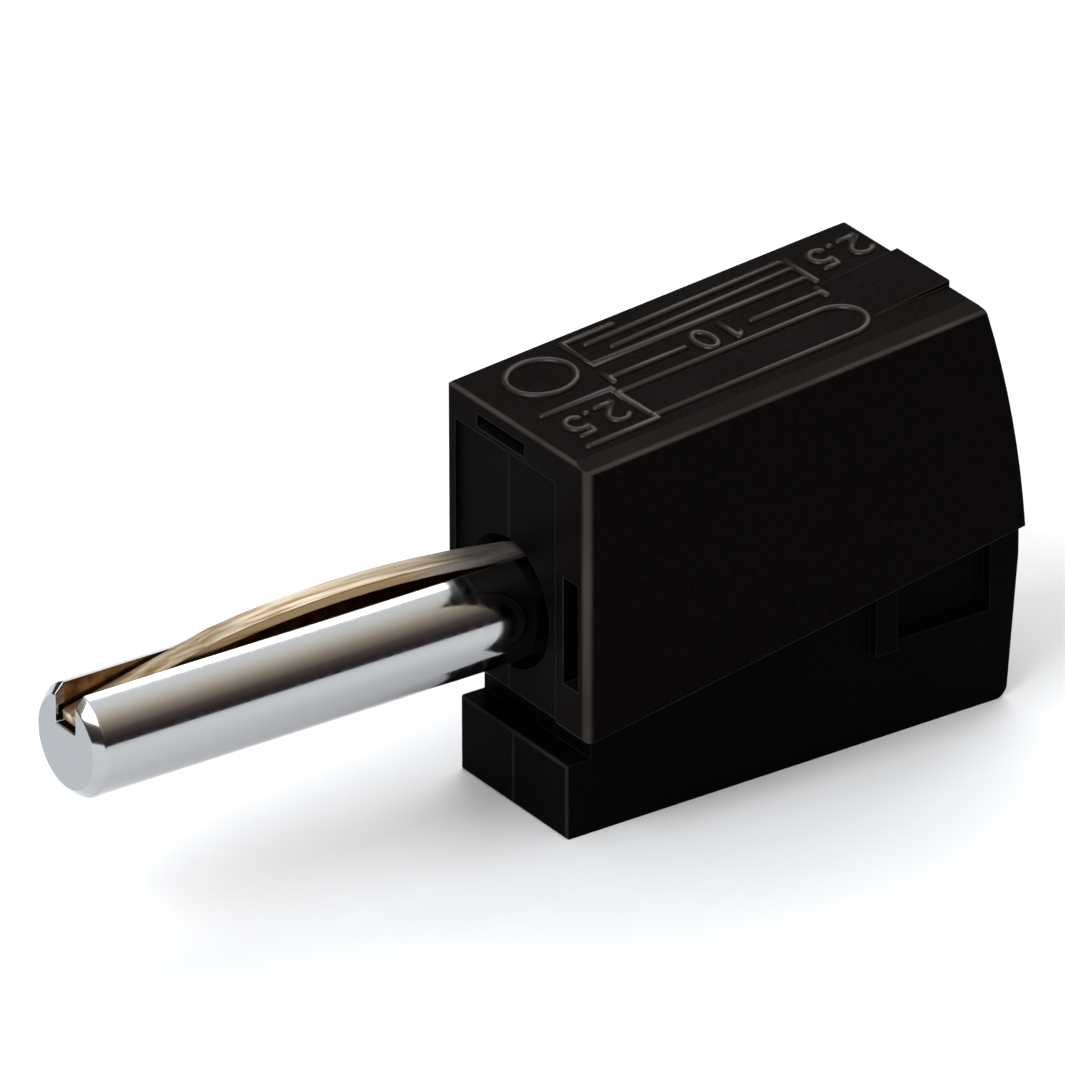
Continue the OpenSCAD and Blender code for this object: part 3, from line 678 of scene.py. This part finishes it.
class PLUG_OT_carrier(bpy.types.Operator):
    """Gives both carrier halves their moulded finish"""

    bl_idname = "plug.carrier"
    bl_label = "Carrier halves"

    def execute(self, context):
        finish = context.scene.plug_finish
        # Painted highlight: the carrier's edges are painted paler for the light they catch, with some
        # rubbing
        material = polyamide_moulded(
            "moulded_polyamide_carrier", finish.carrier[:], finish.carrier[:], finish.carrier_edge_wear_and_highlight[:],
            roughness=0.48, sheen=0.008, soft_edge=context.scene.plug_edges.moulded)
        for node in ("carrier_left", "carrier_right"):
            finish_node(node, material)
        return {"FINISHED"}


class PLUG_OT_pin(bpy.types.Operator):
    """Breaks the pin's edges and plates it"""

    bl_idname = "plug.pin"
    bl_label = "Pin"

    def execute(self, context):
        scene = context.scene
        soften("plug_pin", scene.plug_edges.pin)
        finish_node("plug_pin", nickel_plated_brass(scene.plug_finish))
        return {"FINISHED"}


class PLUG_OT_leaf(bpy.types.Operator):
    """Breaks the contact leaf's edges and gives it its rolled finish"""

    bl_idname = "plug.leaf"
    bl_label = "Contact leaf"

    def execute(self, context):
        scene = context.scene
        soften("contact_leaf", scene.plug_edges.strip)
        finish = scene.plug_finish
        material = rolled_strip(
            "rolled_bronze_leaf", finish.bronze[:], finish.bronze_dull[:], roughness=0.32, streak_mm=0.2)
        # Painted sheen: the leaf is painted pale grey next to the housing for the light it catches there
        paint_sheen_near_housing(material, finish.leaf_painted_sheen[:], sheen_to=1 * MM, bare_from=7 * MM)
        finish_node("contact_leaf", material)
        return {"FINISHED"}


class PLUG_OT_bar(bpy.types.Operator):
    """Breaks the current bar's edges and gives it its rolled finish"""

    bl_idname = "plug.bar"
    bl_label = "Current bar"

    def execute(self, context):
        scene = context.scene
        soften("current_bar", scene.plug_edges.strip)
        copper = scene.plug_finish.copper[:]
        material = rolled_strip(
            "rolled_copper_bar", copper, darker(copper), roughness=0.3, streak_mm=0.3)
        finish_node("current_bar", material)
        return {"FINISHED"}


# A stretch that reaches no further than this past the cut lies behind it
CUT_SLACK = 0.01 * MM


class PLUG_OT_spring(bpy.types.Operator):
    """Makes the clamp spring in two stretches: its swinging leg rides on the clamp, its loop and rest
    leg stay
    """

    bl_idname = "plug.spring"
    bl_label = "Clamp spring"

    def execute(self, context):
        scene = context.scene
        steel = scene.plug_finish.steel[:]
        material = rolled_strip(
            "rolled_spring_steel", steel, darker(steel), roughness=0.24, streak_mm=0.3)
        loop = self.stretch("spring_loop", False, None, material)
        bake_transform(loop)
        cage = self.stretch("spring_cage", True, "clamp", material)
        for piece in (loop, cage):
            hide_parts("clamp_spring")
        return {"FINISHED"}

    def stretch(self, name, swinging, body, material):
        """The loop with its rest leg, or the swinging leg with its cage, cut over the pivot."""
        bm = bmesh.new()
        bm.from_mesh(NODES["clamp_spring"].data)
        bmesh.ops.remove_doubles(bm, verts=bm.verts, dist=SAME_POINT)
        cut = bmesh.ops.bisect_plane(
            bm, geom=bm.verts[:] + bm.edges[:] + bm.faces[:], plane_co=CLAMP_PIVOT, plane_no=(1, 0, 0))
        seams = [e for e in cut["geom_cut"] if isinstance(e, bmesh.types.BMEdge)]
        bmesh.ops.split_edges(bm, edges=seams)
        for island in self.islands(bm):
            high = max(v.co.z for v in island) > CLAMP_PIVOT.z + MM
            rear = max(v.co.x for v in island) < CLAMP_PIVOT.x + CUT_SLACK
            if (high and rear) != swinging:
                bmesh.ops.delete(bm, geom=island, context="VERTS")
        # The loop and the rest leg join again here, so only the cut to the cage is filled
        bmesh.ops.remove_doubles(bm, verts=bm.verts, dist=SAME_POINT)
        bmesh.ops.holes_fill(bm, edges=[e for e in bm.edges if e.is_boundary])
        bmesh.ops.dissolve_degenerate(bm, edges=bm.edges, dist=SAME_POINT)
        return mesh_piece(name, bm, body, material)

    def islands(self, bm):
        """Groups of joined vertices."""
        left = set(bm.verts)
        while left:
            group, queue = set(), [left.pop()]
            while queue:
                vert = queue.pop()
                group.add(vert)
                queue += [e.other_vert(vert) for e in vert.link_edges if e.other_vert(vert) in left]
                left.difference_update(queue)
            yield list(group)


class PLUG_OT_marks(bpy.types.Operator):
    """Raises the picture of wire, strip length and blade on the hood's top"""

    bl_idname = "plug.marks"
    bl_label = "Raised marks"

    def execute(self, context):
        sizes = context.scene.plug_marks
        plane = TopPlane()
        bm = bmesh.new()
        for stroke in mark_strokes(sizes.number_h):
            raise_bead(bm, plane, stroke, sizes.line_w, sizes.line_h)
        finish = context.scene.plug_finish
        # Painted highlight: the marks' flanks take a paler colour for the light the beads catch, with
        # some rubbing
        material = polyamide_moulded(
            "polyamide_marks_wear_and_painted_highlight", finish.marks[:], finish.marks[:], finish.marks_flank_wear_and_highlight[:],
            roughness=0.28, sheen=0.28, soft_edge=context.scene.plug_edges.moulded)
        marks = mesh_piece("hood_marks", bm, "housing", material)
        for face in marks.data.polygons:
            face.use_smooth = True
        return {"FINISHED"}


# Place and side of each soft light and half the floor's side, in metres
OVERHEAD = ("overhead", (-0.183, -0.163, 0.267), 0.24)
FRONT = ("front", (0.45, 0.12, 0.45), 0.4)
FLOOR_HALF = 1.5
# The room's tones by degrees above the horizon
ROOM_TONES = [
    (0, "#2b2727"), (9, "#372f30"), (22, "#5a5049"), (38, "#aa9c8a"), (51, "#e0d8c8"), (62, "#ffffff"),
]


class PLUG_OT_stage(bpy.types.Operator):
    """Sets the floor, the light and the camera"""

    bl_idname = "plug.stage"
    bl_label = "Stage"

    def execute(self, context):
        scene = context.scene
        scene.view_settings.view_transform = "Standard"
        self.floor(scene)
        self.sky(scene)
        self.softbox(*OVERHEAD, scene.plug_stage.key)
        self.softbox(*FRONT, scene.plug_stage.front)
        self.camera(scene)
        return {"FINISHED"}

    def floor(self, scene):
        """A wide sheet at the height of the plug's base."""
        bm = bmesh.new()
        bmesh.ops.create_grid(bm, x_segments=2, y_segments=2, size=FLOOR_HALF)
        bmesh.ops.translate(bm, verts=bm.verts, vec=(0, 0, CAD_BOX[0].z))
        mesh = bpy.data.meshes.new("floor")
        bm.to_mesh(mesh)
        bm.free()
        mesh.materials.append(matt_card(scene.plug_finish))
        obj = bpy.data.objects.new("floor", mesh)
        scene.collection.objects.link(obj)

    def sky(self, scene):
        """A studio room: dark at the horizon, warm grey walls and a pale ceiling."""
        world = bpy.data.worlds.new("studio")
        scene.world = world
        world.use_nodes = True
        tree = world.node_tree
        tree.nodes.clear()
        place = add_node(tree, "ShaderNodeTexCoord").outputs["Generated"]
        height = add_node(tree, "ShaderNodeSeparateXYZ", {0: place})
        share = add_node(
            tree, "ShaderNodeMapRange",
            {"Value": height.outputs["Z"], "From Min": -1.0, "From Max": 1.0})
        ramp = add_node(tree, "ShaderNodeValToRGB", {"Fac": share.outputs[0]})
        stops = ramp.color_ramp.elements
        stops.remove(stops[1])
        for i, (elevation, hex_colour) in enumerate(ROOM_TONES):
            position = (math.sin(math.radians(elevation)) + 1) / 2
            stop = stops[0] if i == 0 else stops.new(position)
            stop.position = position
            stop.color = linear(hex_colour)
        light = add_node(
            tree, "ShaderNodeBackground", {"Color": ramp.outputs[0], "Strength": scene.plug_stage.room})
        add_node(tree, "ShaderNodeOutputWorld", {"Surface": light.outputs[0]})

    def softbox(self, name, place, size, power):
        """A square soft light that faces the plug."""
        light = bpy.data.lights.new(name, "AREA")
        light.shape = "SQUARE"
        light.size = size
        light.energy = power
        obj = bpy.data.objects.new(name, light)
        obj.location = place
        obj.rotation_euler = Vector(place).to_track_quat("Z", "Y").to_euler()
        bpy.context.scene.collection.objects.link(obj)

    def camera(self, scene):
        """The camera at the photograph's viewing angle."""
        stage = scene.plug_stage
        a, e = stage.azimuth, stage.elevation
        back = Vector((math.sin(a) * math.cos(e), -math.cos(a) * math.cos(e), math.sin(e)))
        right = Vector((math.cos(a), math.sin(a), 0))
        up = back.cross(right)
        place = back * stage.distance + right * stage.aside + up * stage.above
        turned_right = right * math.cos(stage.roll) - up * math.sin(stage.roll)
        turned_up = right * math.sin(stage.roll) + up * math.cos(stage.roll)
        lens = bpy.data.cameras.new("camera")
        lens.angle = stage.angle
        lens.clip_start = 0.01
        obj = bpy.data.objects.new("camera", lens)
        turn = Matrix((turned_right, turned_up, back)).transposed().to_4x4()
        obj.matrix_world = Matrix.Translation(place) @ turn
        scene.collection.objects.link(obj)
        scene.camera = obj


class PLUG_PT_panel(bpy.types.Panel):
    """Lists the plug's sizes, colours and pieces"""

    bl_idname = "PLUG_PT_panel"
    bl_label = "Spring-clamp plug"
    bl_space_type = "VIEW_3D"
    bl_region_type = "UI"
    bl_category = "Plug"

    def draw(self, context):
        for name in SETTINGS:
            column = self.layout.column(align=True)
            group = getattr(context.scene, name)
            for key in group.__annotations__:
                column.prop(group, key)
        for operator in OPERATORS:
            self.layout.operator(operator.bl_idname)


SETTINGS = {
    "plug_edges": PlugEdges,
    "plug_marks": PlugMarks,
    "plug_finish": PlugFinish,
    "plug_stage": PlugStage,
}
OPERATORS = [
    PLUG_OT_hood, PLUG_OT_marks, PLUG_OT_carrier, PLUG_OT_pin, PLUG_OT_leaf, PLUG_OT_bar,
    PLUG_OT_spring, PLUG_OT_stage,
]


def register():
    for group in SETTINGS.values():
        bpy.utils.register_class(group)
    for operator in OPERATORS:
        bpy.utils.register_class(operator)
    bpy.utils.register_class(PLUG_PT_panel)
    for name, group in SETTINGS.items():
        setattr(bpy.types.Scene, name, bpy.props.PointerProperty(type=group))


def unregister():
    for name in SETTINGS:
        delattr(bpy.types.Scene, name)
    bpy.utils.unregister_class(PLUG_PT_panel)
    for operator in reversed(OPERATORS):
        bpy.utils.unregister_class(operator)
    for group in reversed(list(SETTINGS.values())):
        bpy.utils.unregister_class(group)


def main():
    """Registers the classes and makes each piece."""
    register()
    for operator in OPERATORS:
        category, name = operator.bl_idname.split(".")
        getattr(getattr(bpy.ops, category), name)()


if __name__ == "__main__":
    main()
